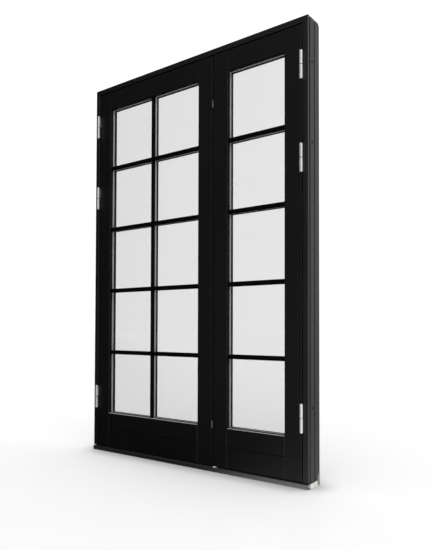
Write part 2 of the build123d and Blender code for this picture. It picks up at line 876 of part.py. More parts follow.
def edge_seal(leaf):
    """Sealant that fills the unit's edge behind the spacer, between the two sheets."""
    x0, x1 = leaf.sight
    lap = rebate_height - glass_edge_gap
    middle = (spacer_height + lap) / 2
    return along_y(ring(x0 - middle, x1 + middle, sight_bottom - middle, sight_top + middle,
                        (lap - spacer_height) / 2), spacer_front, inner_glass_front)


def glazing_bars(leaf, glass_face, depth, outward):
    """Bevelled bars glued on the glass, halved where they cross; outward is -1 on the outside."""
    half = bar_width / 2
    face = glass_face + outward * depth
    shoulder = face - outward * bar_bevel
    section = [(-half, glass_face), (-half, shoulder), (-half + bar_bevel, face),
               (half - bar_bevel, face), (half, shoulder), (half, glass_face)]
    x0, x1 = leaf.sight
    uprights, levels = pane_centres(leaf)
    low = sight_bottom - weathering_drop
    bars = [along_z(outline([(x + w, y) for w, y in section]), low, sight_top) for x in uprights]
    bars += [along_x(outline([(y, z + w) for w, y in section]), x0, x1) for z in levels]
    grid = bars[0]
    for bar in bars[1:]:
        grid += bar
    return grid


def outer_bars(leaf):
    """Outside bars, scribed to the weathered rail at their feet."""
    return glazing_bars(leaf, outer_glass_front, outer_bar_depth, -1) - rail(leaf, "lower_rail")


def inner_bars(leaf):
    """Room-side bars, cut at the sight line."""
    x0, x1 = leaf.sight
    grid = glazing_bars(leaf, bead_front, inner_bar_depth, 1)
    return grid - block(x0, x1, bead_front - overrun, leaf_back, sight_bottom - rebate_height, sight_bottom)


def glazing_beads(leaf):
    """Four mitred beads that hold the unit from the room side."""
    x0, x1 = leaf.sight
    half = rebate_height / 2
    lines = (x0 - half, x1 + half, sight_bottom - half, sight_top + half)
    hoop = along_y(ring(*lines, half), bead_front, leaf_back)
    places = [(edge, edge.center()) for edge in hoop.faces().sort_by(Axis.Y)[-1].edges()]
    inner = [edge for edge, at in places if lines[0] < at.X < lines[1] and lines[2] < at.Z < lines[3]]
    hoop = chamfer(inner, bead_chamfer)
    near = [(x0, sight_bottom), (x1, sight_bottom), (x1, sight_top), (x0, sight_top)]
    step = rebate_height
    far = [(x0 - step, sight_bottom - step), (x1 + step, sight_bottom - step),
           (x1 + step, sight_top + step), (x0 - step, sight_top + step)]
    beads = []
    for i in range(len(near)):
        j = (i + 1) % len(near)
        quarter = outline([near[i], near[j], far[j], far[i]])
        beads.append(hoop & along_y(quarter, bead_front - overrun, leaf_back + overrun))
    return beads


def setting_blocks(leaf):
    """Blocks in the rebate that the sealed unit stands on."""
    x0, x1 = leaf.sight
    seat = sight_bottom - rebate_height
    blocks = []
    for share in block_place_shares:
        x = x0 + share * (x1 - x0)
        blocks.append(block(x - block_length / 2, x + block_length / 2, outer_glass_front + block_side_gap,
                            bead_front - block_side_gap, seat, seat + glass_edge_gap))
    return blocks


def leaf_nodes(leaf):
    """The pieces that both leaves have."""
    nodes = {
        "hinge_stile": hinge_stile(leaf),
        "outer_glass": glass(leaf, outer_glass_front),
        "inner_glass": glass(leaf, inner_glass_front),
        "spacer": spacer(leaf),
        "edge_seal": edge_seal(leaf),
        "outer_bars": outer_bars(leaf),
        "inner_bars": inner_bars(leaf),
        "glazing_beads": glazing_beads(leaf),
        "setting_blocks": setting_blocks(leaf),
        "meeting_seal": meeting_seal(leaf),
    }
    for kind in rail_sections():
        nodes[kind] = rail(leaf, kind)
    nodes["leaf_hinges"] = [leaf_hinge(leaf.hinge_side, height) for height in hinge_heights]
    return {f"{leaf.name}_{name}": solid for name, solid in nodes.items()}


def frame_nodes():
    """The pieces of the frame."""
    return {
        "head": head(),
        "left_jamb": jamb(LEFT),
        "right_jamb": jamb(RIGHT),
        "sill": sill(),
        "sill_stop": sill_stop(),
        "sill_nosing": sill_nosing(),
        "frame_gasket": frame_gasket(),
        "flush_bolt_keeps": flush_bolt_keeps(),
        "left_frame_hinges": [frame_hinge(LEFT, height) for height in hinge_heights],
        "right_frame_hinges": [frame_hinge(RIGHT, height) for height in hinge_heights],
    }


def lock_nodes():
    """The pieces that only one of the leaves has."""
    return {
        "left_meeting_stile": left_meeting_stile(),
        "meeting_pads": meeting_pads(),
        "lock_faceplate": lock_faceplate(),
        "gear_case": gear_case(),
        "pinion": pinion(),
        "spindle": spindle(),
        "drive_rod": drive_rod(),
        "lower_bolt": lock_bolt(bolt_heights[0]),
        "upper_bolt": lock_bolt(bolt_heights[1]),
        "handle_rose": handle_rose(),
        "handle_lever": handle_lever(),
        "right_meeting_stile": right_meeting_stile(),
        "bolt_keeps": bolt_keeps(),
        "flush_bolt_plates": flush_bolt_plates(),
        "top_flush_bolt": flush_bolt(1),
        "bottom_flush_bolt": flush_bolt(-1),
    }


def save(name, solid):
    """Write one piece, or a group of like pieces, to its file."""
    shape = Compound(children=list(solid)) if isinstance(solid, list) else solid
    export_step(shape, f"parts/{name}.step")


os.makedirs("parts", exist_ok=True)
pieces = {**frame_nodes(), **leaf_nodes(left_leaf), **leaf_nodes(right_leaf), **lock_nodes()}
for node, solid in pieces.items():
    save(node, solid)
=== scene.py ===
"""Dresses black timber french doors in their frame and sets them on a pale studio floor."""
import logging
import math
from contextlib import contextmanager
from dataclasses import dataclass, field
from enum import Enum
from typing import Any, Callable, Dict, Iterator, List, Mapping, Optional, Sequence, Tuple, Union

import bpy
from mathutils import Matrix, Vector


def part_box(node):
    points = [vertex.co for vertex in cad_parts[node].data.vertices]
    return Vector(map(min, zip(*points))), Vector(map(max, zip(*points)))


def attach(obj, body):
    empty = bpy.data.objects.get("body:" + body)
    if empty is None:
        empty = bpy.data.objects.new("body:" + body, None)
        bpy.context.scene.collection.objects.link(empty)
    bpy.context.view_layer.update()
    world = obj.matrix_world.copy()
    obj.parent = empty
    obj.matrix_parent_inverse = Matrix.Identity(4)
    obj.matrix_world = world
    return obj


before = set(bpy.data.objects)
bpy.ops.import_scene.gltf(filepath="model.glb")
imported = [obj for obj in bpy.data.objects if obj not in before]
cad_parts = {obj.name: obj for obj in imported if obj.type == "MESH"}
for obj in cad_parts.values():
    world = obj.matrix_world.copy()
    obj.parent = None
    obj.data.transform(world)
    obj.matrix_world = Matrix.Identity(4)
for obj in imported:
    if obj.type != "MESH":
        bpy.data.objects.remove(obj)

logging.basicConfig(level=logging.INFO, format="%(message)s")
LOG = logging.getLogger("french_doors")

MM = 0.001
IMAGE_LONG_SIDE = 550.0
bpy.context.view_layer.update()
# Fittings in one node that are further apart than this are counted one by one.
FITTINGS_APART = 150.0 * MM
# A face looks along an axis when its normal has more than the first share of it, and lies square
# to the axis past the second.
LOOKING, SQUARE = 0.5, 0.99
# Noise seldom leaves this range, so it is spread from here.
NOISE_RANGE = (0.3, 0.7)
# Octaves of a noise, from a slow swell to the finest grain.
SWELL, SOFT, FINE, FINEST = 1.0, 2.0, 3.0, 4.0
# Sockets of a Mix node that share a name, by number.
FACTOR, NUMBER_A, NUMBER_B, COLOUR_A, COLOUR_B, MIXED_COLOUR = 0, 2, 3, 6, 7, 2
# Light Path counts whole bounces, so a count under this is none.
NO_BOUNCE = 0.5

Point = Tuple[float, float, float]
Colour = Tuple[float, float, float, float]
Range = Tuple[float, float]
Thing = bpy.types.Object
Material = bpy.types.Material
Tree = bpy.types.NodeTree
Socket = bpy.types.NodeSocket


class Grain(Enum):
    """The way that the wood's grain runs in a member."""

    UPRIGHT = "upright"
    LEVEL = "level"


class Side(Enum):
    """A side of the door set, as seen from outside."""

    LEFT = "left"
    RIGHT = "right"


class Half(Enum):
    """A half of a hinge, named for what it is screwed to."""

    FRAME = "frame"
    LEAF = "leaf"


class Face(Enum):
    """The way that a fitting looks once it is in place."""

    LEFT = (-1.0, 0.0, 0.0)
    RIGHT = (1.0, 0.0, 0.0)
    ROOM = (0.0, 1.0, 0.0)
    UP = (0.0, 0.0, 1.0)
    DOWN = (0.0, 0.0, -1.0)

    def turn(self) -> Matrix:
        """Gives the turn from looking up, as fittings are modelled, to looking this way."""
        return Vector(Face.UP.value).rotation_difference(Vector(self.value)).to_matrix().to_4x4()


def linear(hex_code: str) -> Colour:
    """Turns an sRGB hex value into a linear colour.

    Args:
        hex_code: Six hex digits, such as "1A1A1B".

    Returns:
        Linear red, green and blue with an alpha of 1.
    """
    levels = [int(hex_code[i:i + 2], 16) / 255 for i in (0, 2, 4)]
    parts = [c / 12.92 if c <= 0.04045 else ((c + 0.055) / 1.055) ** 2.4 for c in levels]
    return parts[0], parts[1], parts[2], 1.0


def per_metre(size_mm: float) -> float:
    """Gives a texture's scale, in repeats to the metre, for a pattern of a real size.

    Args:
        size_mm: Size of one repeat in millimetres.

    Returns:
        The scale for a texture on Object coordinates in metres.
    """
    return 1.0 / (size_mm * MM)


def add_node(tree: Tree, kind: str, inputs: Optional[Mapping[Any, Any]] = None, take: Any = 0,
             **settings: Any) -> Optional[Socket]:
    """Adds one shader node with its settings, values and links.

    Args:
        tree: The node tree that takes it.
        kind: Blender's name of the node type.
        inputs: Socket name or number to a value, or to the output socket that feeds it.
        take: Name or number of the output that is wanted.
        settings: Properties of the node itself.

    Returns:
        That output, or nothing for a node that has none.
    """
    made = tree.nodes.new(kind)
    for name, value in settings.items():
        setattr(made, name, value)
    for name, value in (inputs or {}).items():
        socket = made.inputs[name]
        if isinstance(value, Socket):
            tree.links.new(value, socket)
        else:
            socket.default_value = value
    return made.outputs[take] if len(made.outputs) else None


def new_material(name: str) -> Tuple[Material, Tree, Socket]:
    """Starts an empty material with Object coordinates.

    Args:
        name: The material's name.

    Returns:
        The material, its tree and the Object coordinate socket.
    """
    material = bpy.data.materials.new(name)
    material.use_nodes = True
    tree = material.node_tree
    tree.nodes.clear()
    coords = add_node(tree, "ShaderNodeTexCoord", take="Object")
    return material, tree, coords


def close_material(tree: Tree, shader: Socket) -> None:
    """Links a shader to the material's output.

    Args:
        tree: The material's tree.
        shader: The shader socket that shows.
    """
    add_node(tree, "ShaderNodeOutputMaterial", {"Surface": shader})


def mottled(tree: Tree, coords: Socket, shades: Tuple[str, str], size_mm: float,
            octaves: float) -> Socket:
    """Lets one colour drift into another in soft patches.

    Args:
        tree: The material's tree.
        coords: Object coordinates.
        shades: Hex values of the two colours.
        size_mm: Size of the patches.
        octaves: Octaves of their noise.

    Returns:
        The colour.
    """
    patches = add_node(tree, "ShaderNodeTexNoise", {
        "Vector": coords, "Scale": per_metre(size_mm), "Detail": octaves})
    return add_node(tree, "ShaderNodeMix", {
        FACTOR: patches, COLOUR_A: linear(shades[0]), COLOUR_B: linear(shades[1])},
        take=MIXED_COLOUR, data_type="RGBA")


@dataclass(frozen=True)
class PaintedTimber:
    """Black satin paint sprayed on planed pine.

    The paint hides the wood's colour, but the summer growth stands up a little under the film, so
    long faint ridges follow the grain and the gloss breaks along them. Spraying leaves a fine peel.
    Every edge is eased. Near the foot, upright arrises and joints get pale paint, which stands for
    worn paint and also for a painted highlight along the eased edges.
    """

    name: str = "sprayed_black_satin_paint_on_pine"
    paint: str = "030304"
    thin_paint: str = "080809"
    roughness: Range = (0.36, 0.46)
    sheen_level: float = 0.4
    ior: float = 1.5
    cloud_mm: float = 180.0
    ridge_mm: float = 5.0
    ridge_length_share: float = 0.02
    ridge_waver: float = 0.3
    ridge_height: float = 0.10
    ridge_depth_mm: float = 0.4
    peel_mm: float = 2.2
    peel_height: float = 0.05
    peel_depth_mm: float = 0.2
    arris_mm: float = 2.6
    arris_samples: int = 6
    # Pale paint on upright arrises near the foot: partly worn paint, partly a painted highlight.
    arris_wear_and_highlight_paint: str = "565657"
    arris_turn: Range = (0.04, 0.22)
    wear_and_highlight_tilt: Range = (0.35, 0.15)
    wear_and_highlight_height_mm: Range = (300.0, 225.0)
    side_turn: Range = (0.8, 0.3)
    side_dryness: float = 0.0

    def material(self, grain: Grain) -> Material:
        """Builds the paint with its grain along the member.

        Args:
            grain: The way that the grain runs.

        Returns:
            The material.
        """
        material, tree, coords = new_material(f"{self.name}_{grain.value}")
        short = self.ridge_length_share
        stretch = (1.0, 1.0, short) if grain is Grain.UPRIGHT else (short, 1.0, 1.0)
        along = add_node(tree, "ShaderNodeMapping", {"Vector": coords, "Scale": stretch})
        ridges = add_node(tree, "ShaderNodeTexNoise", {
            "Vector": along, "Scale": per_metre(self.ridge_mm), "Detail": FINE,
            "Distortion": self.ridge_waver})
        peel = add_node(tree, "ShaderNodeTexNoise", {
            "Vector": coords, "Scale": per_metre(self.peel_mm), "Detail": SOFT})
        film = mottled(tree, coords, (self.paint, self.thin_paint), self.cloud_mm, FINE)
        eased = add_node(tree, "ShaderNodeBevel", {
            "Radius": self.arris_mm * MM}, samples=self.arris_samples)
        # Pale edges near the foot, of wear and a painted highlight, are mixed into the film.
        colour = add_node(tree, "ShaderNodeMix", {
            FACTOR: self._wear_and_highlight_edges(tree, coords, eased), COLOUR_A: film,
            COLOUR_B: linear(self.arris_wear_and_highlight_paint)}, take=MIXED_COLOUR, data_type="RGBA")
        low = add_node(tree, "ShaderNodeBump", {
            "Height": ridges, "Strength": self.ridge_height, "Distance": self.ridge_depth_mm * MM,
            "Normal": eased})
        normal = add_node(tree, "ShaderNodeBump", {
            "Height": peel, "Strength": self.peel_height, "Distance": self.peel_depth_mm * MM,
            "Normal": low})
        shader = add_node(tree, "ShaderNodeBsdfPrincipled", {
            "Base Color": colour, "Roughness": self._dullness(tree, ridges, eased),
            "Normal": normal, "IOR": self.ior, "Specular IOR Level": self.sheen_level})
        close_material(tree, shader)
        return material

    def _wear_and_highlight_edges(self, tree: Tree, coords: Socket, eased: Socket) -> Socket:
        """Finds the upright arrises at the foot, which get pale paint for wear and a painted highlight.

        Args:
            tree: The material's tree.
            coords: Object coordinates.
            eased: The normal with every edge eased.

        Returns:
            A socket that gives 1 on that pale paint and 0 elsewhere.
        """
        flat = add_node(tree, "ShaderNodeNewGeometry", take="True Normal")
        facing = add_node(tree, "ShaderNodeVectorMath", {
            0: eased, 1: flat}, "Value", operation="DOT_PRODUCT")
        edge = add_node(tree, "ShaderNodeMapRange", {
            "Value": facing, "From Min": 1.0 - self.arris_turn[0],
            "From Max": 1.0 - self.arris_turn[1]})
        rise = add_node(tree, "ShaderNodeSeparateXYZ", {"Vector": eased}, "Z")
        tilt = add_node(tree, "ShaderNodeMath", {0: rise}, operation="ABSOLUTE")
        upright = add_node(tree, "ShaderNodeMapRange", {
            "Value": tilt, "From Min": self.wear_and_highlight_tilt[0], "From Max": self.wear_and_highlight_tilt[1]})
        height = add_node(tree, "ShaderNodeSeparateXYZ", {"Vector": coords}, "Z")
        foot = add_node(tree, "ShaderNodeMapRange", {
            "Value": height, "From Min": self.wear_and_highlight_height_mm[0] * MM,
            "From Max": self.wear_and_highlight_height_mm[1] * MM})
        pale_edges = add_node(tree, "ShaderNodeMath", {0: edge, 1: upright}, operation="MULTIPLY")
        return add_node(tree, "ShaderNodeMath", {0: pale_edges, 1: foot}, operation="MULTIPLY")

    def _dullness(self, tree: Tree, ridges: Socket, eased: Socket) -> Socket:
        """Breaks the gloss along the grain and dries it on faces that the spray met from the side.

        Args:
            tree: The material's tree.
            ridges: The grain's ridges.
            eased: The normal with every edge eased.

        Returns:
            The roughness.
        """
        film = add_node(tree, "ShaderNodeMapRange", {
            "Value": ridges, "From Min": NOISE_RANGE[0], "From Max": NOISE_RANGE[1],
            "To Min": self.roughness[0], "To Max": self.roughness[1]})
        front = add_node(tree, "ShaderNodeSeparateXYZ", {"Vector": eased}, "Y")
        fronting = add_node(tree, "ShaderNodeMath", {0: front}, operation="ABSOLUTE")
        dry = add_node(tree, "ShaderNodeMapRange", {
            "Value": fronting, "From Min": self.side_turn[0], "From Max": self.side_turn[1],
            "To Max": self.side_dryness})
        return add_node(tree, "ShaderNodeMath", {0: film, 1: dry}, operation="ADD")


@dataclass(frozen=True)
class DrawnMetal:
    """A rolled, drawn, cast or plated metal with fine lines along its making direction.

    The lines break the gloss into streaks along the piece, and a soft mottle stands for handling.
    Real lines are too fine to show in the render, so they are drawn several times as coarse.
    """

    name: str
    base: str
    shade: str
    roughness: Range
    line_mm: float
    stretch: Point
    line_height: float = 0.08
    metallic: float = 1.0
    line_depth_mm: float = 0.1
    mottle_mm: float = 22.0

    def material(self) -> Material:
        """Builds the metal.

        Returns:
            The material.
        """
        material, tree, coords = new_material(self.name)
        along = add_node(tree, "ShaderNodeMapping", {"Vector": coords, "Scale": self.stretch})
        lines = add_node(tree, "ShaderNodeTexNoise", {
            "Vector": along, "Scale": per_metre(self.line_mm), "Detail": FINEST})
        colour = mottled(tree, coords, (self.shade, self.base), self.mottle_mm, SOFT)
        rough = add_node(tree, "ShaderNodeMapRange", {
            "Value": lines, "From Min": NOISE_RANGE[0], "From Max": NOISE_RANGE[1],
            "To Min": self.roughness[0], "To Max": self.roughness[1]})
        normal = add_node(tree, "ShaderNodeBump", {
            "Height": lines, "Strength": self.line_height, "Distance": self.line_depth_mm * MM})
        shader = add_node(tree, "ShaderNodeBsdfPrincipled", {
            "Base Color": colour, "Metallic": self.metallic, "Roughness": rough, "Normal": normal})
        close_material(tree, shader)
        return material


@dataclass(frozen=True)
class SealedSpacer:
    """Rolled aluminium spacer of a sealed unit, with black butyl pressed out along both sheets.

    The strip is dulled by rolling and by the drying beads inside, and the butyl's lines wander.
    """

    name: str = "rolled_aluminium_spacer_with_butyl_lines"
    base: str = "BCBDBE"
    shade: str = "B0B1B2"
    butyl: str = "060606"
    roughness: float = 0.48
    metallic: float = 0.6
    front_butyl_mm: float = 1.0
    back_butyl_mm: float = 4.0
    wander_mm: float = 1.0
    wander_length_mm: float = 25.0
    mottle_mm: float = 22.0

    def material(self, front: float, back: float) -> Material:
        """Builds the strip and its seals.

        Args:
            front: Where the spacer's front edge lies along Y, in metres.
            back: Where its back edge lies.

        Returns:
            The material.
        """
        material, tree, coords = new_material(self.name)
        wander = self.wander_mm * MM
        front_line = front + self.front_butyl_mm * MM
        back_line = back - self.back_butyl_mm * MM
        depth = add_node(tree, "ShaderNodeSeparateXYZ", {"Vector": coords}, "Y")
        drift = add_node(tree, "ShaderNodeTexNoise", {
            "Vector": coords, "Scale": per_metre(self.wander_length_mm), "Detail": SWELL})
        place = add_node(tree, "ShaderNodeMath", {
            0: drift, 1: wander, 2: depth}, operation="MULTIPLY_ADD")
        past_front = add_node(tree, "ShaderNodeMapRange", {
            "Value": place, "From Min": front_line, "From Max": front_line + wander})
        before_back = add_node(tree, "ShaderNodeMapRange", {
            "Value": place, "From Min": back_line + wander, "From Max": back_line})
        bare = add_node(tree, "ShaderNodeMath", {
            0: past_front, 1: before_back}, operation="MULTIPLY")
        metal = mottled(tree, coords, (self.shade, self.base), self.mottle_mm, SOFT)
        colour = add_node(tree, "ShaderNodeMix", {
            FACTOR: bare, COLOUR_A: linear(self.butyl), COLOUR_B: metal}, take=MIXED_COLOUR,
            data_type="RGBA")
        shine = add_node(tree, "ShaderNodeMath", {0: bare, 1: self.metallic}, operation="MULTIPLY")
        shader = add_node(tree, "ShaderNodeBsdfPrincipled", {
            "Base Color": colour, "Metallic": shine, "Roughness": self.roughness})
        close_material(tree, shader)
        return material


@dataclass(frozen=True)
class FloatGlass:
    """Clear float glass: fire-polished and flat, with a faint grey from its depth."""

    name: str = "clear_float_glass"
    tint: str = "F5F5F5"
    ior: float = 1.5
    wave_mm: float = 160.0
    wave_height: float = 0.004
    wave_depth_mm: float = 0.2

    def material(self) -> Material:
        """Builds the glass.

        Returns:
            The material.
        """
        material, tree, coords = new_material(self.name)
        wave = add_node(tree, "ShaderNodeTexNoise", {
            "Vector": coords, "Scale": per_metre(self.wave_mm), "Detail": SWELL})
        normal = add_node(tree, "ShaderNodeBump", {
            "Height": wave, "Strength": self.wave_height, "Distance": self.wave_depth_mm * MM})
        shader = add_node(tree, "ShaderNodeBsdfPrincipled", {
            "Base Color": linear(self.tint), "Roughness": 0.0, "IOR": self.ior,
            "Transmission Weight": 1.0, "Normal": normal})
        close_material(tree, shader)
        return material


@dataclass(frozen=True)
class MouldedPlain:
    """A moulded or extruded plastic, rubber or composite with a fine grain and slight mottling."""

    name: str
    base: str
    shade: str
    roughness: float
    grain_mm: float
    grain_height: float
    mottle_mm: float = 30.0
    grain_depth_mm: float = 0.2
    ior: float = 1.5

    def material(self) -> Material:
        """Builds the plastic.

        Returns:
            The material.
        """
        material, tree, coords = new_material(self.name)
        grain = add_node(tree, "ShaderNodeTexNoise", {
            "Vector": coords, "Scale": per_metre(self.grain_mm), "Detail": FINE})
        colour = mottled(tree, coords, (self.shade, self.base), self.mottle_mm, FINEST)
        normal = add_node(tree, "ShaderNodeBump", {
            "Height": grain, "Strength": self.grain_height, "Distance": self.grain_depth_mm * MM})
        shader = add_node(tree, "ShaderNodeBsdfPrincipled", {
            "Base Color": colour, "Roughness": self.roughness, "Normal": normal, "IOR": self.ior})
        close_material(tree, shader)
        return material


# Frame: a satin film, even on every side of the section.
FRAME_PAINT = PaintedTimber(sheen_level=0.65)
# Stiles and rails: sprayed from the front, so the film is satin there and dry on the edges.
LEAF_PAINT = PaintedTimber("sprayed_black_satin_paint_on_leaf_pine", side_dryness=0.5)
# Bars and beads: small mouldings sprayed lean, nearly matt. Their edges get hardly any of the pale
# paint that stands for wear and a painted highlight.
MATT_PAINT = PaintedTimber(
    "sprayed_black_matt_paint_on_pine", thin_paint="060607", roughness=(0.5, 0.6),
    sheen_level=0.05, arris_wear_and_highlight_paint="0C0C0D")
# Lines run along the hinge pins and the upright lock parts.
ZINC_STEEL = DrawnMetal(
    "bright_zinc_plated_steel", "EEEFF0", "DFE0E1", (0.26, 0.4), line_mm=0.8,
    stretch=(1.0, 1.0, 0.06), metallic=0.75)
# Cast keeps: a pale, dull skin with hardly any shine, and grains instead of lines.
CAST_ZINC = DrawnMetal(
    "die_cast_zinc", "F2F3F4", "E6E7E8", (0.42, 0.55), line_mm=1.4,
    stretch=(1.0, 1.0, 1.0), line_height=0.1, metallic=0.1)
# Lines run along the lever.
SATIN_STEEL = DrawnMetal(
    "satin_brushed_stainless_steel", "C9C8C5", "BDBCB9", (0.24, 0.38), line_mm=0.5,
    stretch=(0.05, 1.0, 1.0))
# An anodised extrusion with die lines along the sill.
NOSING_METAL = DrawnMetal(
    "grey_anodised_extruded_aluminium", "909193", "848587", (0.3, 0.42), line_mm=0.7,
    stretch=(0.01, 1.0, 1.0), line_height=0.1)
# The same metal etched dull and pale, for the strips on the ledges.
STRIP_METAL = DrawnMetal(
    "etched_extruded_aluminium", "A8A9AB", "9C9D9F", (0.5, 0.6), line_mm=0.7,
    stretch=(0.01, 1.0, 1.0), line_height=0.1, metallic=0.2)
# Extruded seal rubber: dull, with a dusty bloom.
SEAL_RUBBER = MouldedPlain("extruded_seal_rubber", "0D0D0D", "090909", 0.6, 0.6, 0.15)
# Moulded glass-filled composite: pale, dry and faintly speckled.
SILL_COMPOSITE = MouldedPlain(
    "moulded_pale_sill_composite", "F3F2EF", "E6E5E1", 0.55, 1.2, 0.2, 9.0)
# The same composite with grey in the mix, for the stop behind the leaves.
STOP_COMPOSITE = MouldedPlain(
    "moulded_grey_stop_composite", "8F9092", "838486", 0.5, 1.2, 0.2, 9.0)
# Turned nylon washers: black and slightly waxy.
BLACK_NYLON = MouldedPlain("turned_black_nylon", "0B0B0B", "080808", 0.45, 0.5, 0.08)
# Injection-moulded spacing pads and setting blocks: mid grey with a soft sheen.
GREY_PLASTIC = MouldedPlain("injection_moulded_grey_plastic", "8A8B8D", "7F8082", 0.42, 0.8, 0.1)

# The finishes that need nothing from the frame.
PLAIN_FINISHES: Dict[str, Union[FloatGlass, DrawnMetal, MouldedPlain]] = {
    "glass": FloatGlass(), "zinc": ZINC_STEEL, "cast": CAST_ZINC, "satin": SATIN_STEEL,
    "nosing": NOSING_METAL, "strip": STRIP_METAL, "rubber": SEAL_RUBBER, "nylon": BLACK_NYLON,
    "sill": SILL_COMPOSITE, "stop": STOP_COMPOSITE, "plastic": GREY_PLASTIC}


@dataclass
class Finishes:
    """Every finish of the door set, made once and shared by its pieces."""

    made: Dict[str, Material] = field(default_factory=dict)

    def build(self) -> None:
        """Makes the materials."""
        for grain in Grain:
            self.made[f"frame_{grain.value}"] = FRAME_PAINT.material(grain)
            self.made[f"leaf_{grain.value}"] = LEAF_PAINT.material(grain)
        self.made["mouldings"] = MATT_PAINT.material(Grain.LEVEL)
        front, back = (corner.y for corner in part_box("left_spacer"))
        self.made["spacer"] = SealedSpacer().material(front, back)
        for key, finish in PLAIN_FINISHES.items():
            self.made[key] = finish.material()

    def dress(self, looks: Mapping[str, Sequence[str]]) -> None:
        """Puts finishes on CAD nodes.

        Args:
            looks: Name of each finish to the nodes that get it.
        """
        for key, nodes in looks.items():
            for name in nodes:
                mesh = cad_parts[name].data
                mesh.materials.clear()
                mesh.materials.append(self.made[key])
                LOG.info("%s: %s", name, self.made[key].name)


@dataclass
class Assembly:
    """A sub-assembly of the door set, which takes its looks from the set's finishes."""

    finishes: Finishes


@contextmanager
def editing(thing: Thing, test: Callable[[bpy.types.MeshPolygon], bool]) -> Iterator[None]:
    """Holds the active object in edit mode with the faces that pass a test selected and no others.

    Args:
        thing: The object that is edited.
        test: Takes a polygon and says whether its face is selected.

    Yields:
        Nothing, once edit mode is on.
    """
    bpy.ops.object.mode_set(mode="EDIT")
    bpy.ops.mesh.select_mode(type="FACE")
    bpy.ops.mesh.select_all(action="DESELECT")
    bpy.ops.object.mode_set(mode="OBJECT")
    for polygon in thing.data.polygons:
        polygon.select = bool(test(polygon))
    bpy.ops.object.mode_set(mode="EDIT")
    yield
    bpy.ops.object.mode_set(mode="OBJECT")


def add_round(radius: float, height: float, foot: float, sides: int) -> Thing:
    """Adds an upright cylinder on the Z axis as the start of a round fitting.

    Args:
        radius: Its radius.
        height: Its height.
        foot: Height of its underside.
        sides: Number of its sides.

    Returns:
        The cylinder, with its place in its mesh.
    """
    bpy.ops.object.select_all(action="DESELECT")
    bpy.ops.mesh.primitive_cylinder_add(
        vertices=sides, radius=radius, depth=height, location=(0.0, 0.0, foot + height / 2))
    bpy.ops.object.transform_apply(location=True, rotation=True, scale=True)
    return bpy.context.object


def add_block(size: Point, middle: Point) -> Thing:
    """Adds a block as the start of a flat piece or as a cutter.

    Args:
        size: Its size along X, Y and Z.
        middle: Where its middle lies.

    Returns:
        The block, with its place in its mesh.
    """
    bpy.ops.object.select_all(action="DESELECT")
    bpy.ops.mesh.primitive_cube_add(size=1.0, location=middle)
    bpy.context.object.scale = size
    bpy.ops.object.transform_apply(location=True, rotation=True, scale=True)
    return bpy.context.object


def place_copies(model: Thing, name: str, places: Sequence[Matrix], body: str, material: Material) -> None:
    """Copies a modelled fitting to each place and joins the copies into one piece.

    Args:
        model: The fitting, modelled at the origin.
        name: Name of the piece.
        places: Where each copy goes and how it is turned.
        body: The body that the piece rides on.
        material: Its finish.
    """
    copies = []
    for place in places:
        copy = model.copy()
        copy.data = model.data.copy()
        bpy.context.scene.collection.objects.link(copy)
        copy.data.transform(place)
        copies.append(copy)
    bpy.ops.object.select_all(action="DESELECT")
    for copy in copies:
        copy.select_set(True)
    bpy.context.view_layer.objects.active = copies[0]
    if len(copies) > 1:
        bpy.ops.object.join()
    piece = bpy.context.view_layer.objects.active
    piece.name = name
    piece.data.name = name
    piece.data.materials.clear()
    piece.data.materials.append(material)
    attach(piece, body)
    LOG.info("%s: %d on %s", name, len(places), body)


def height_spans(node: str) -> List[Range]:
    """Finds the height range of each fitting in a node of several that stand one above another.

    Args:
        node: The fittings' node.

    Returns:
        Lower and upper end of each, from the lowest up.
    """
    heights = sorted(corner.co.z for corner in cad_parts[node].data.vertices)
    spans = [[heights[0], heights[0]]]
    for z in heights:
        if z - spans[-1][1] > FITTINGS_APART:
            spans.append([z, z])
        spans[-1][1] = z
    return [(low, high) for low, high in spans]


@dataclass(frozen=True)
class HingeSet:
    """The hinge halves of one side that are screwed to the frame or to the leaf."""

    side: Side
    half: Half

    @property
    def node(self) -> str:
        """Name of their CAD node."""
        return f"{self.side.value}_{self.half.value}_hinges"

    @property
    def body(self) -> str:
        """Body that they ride on."""
        return "frame" if self.half is Half.FRAME else f"{self.side.value}_leaf"

    def axis(self) -> Range:
        """Finds where the middle of the barrels lies along X and Y."""
        low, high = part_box(self.node)
        return (low.x + high.x) / 2, low.y + (high.x - low.x) / 2


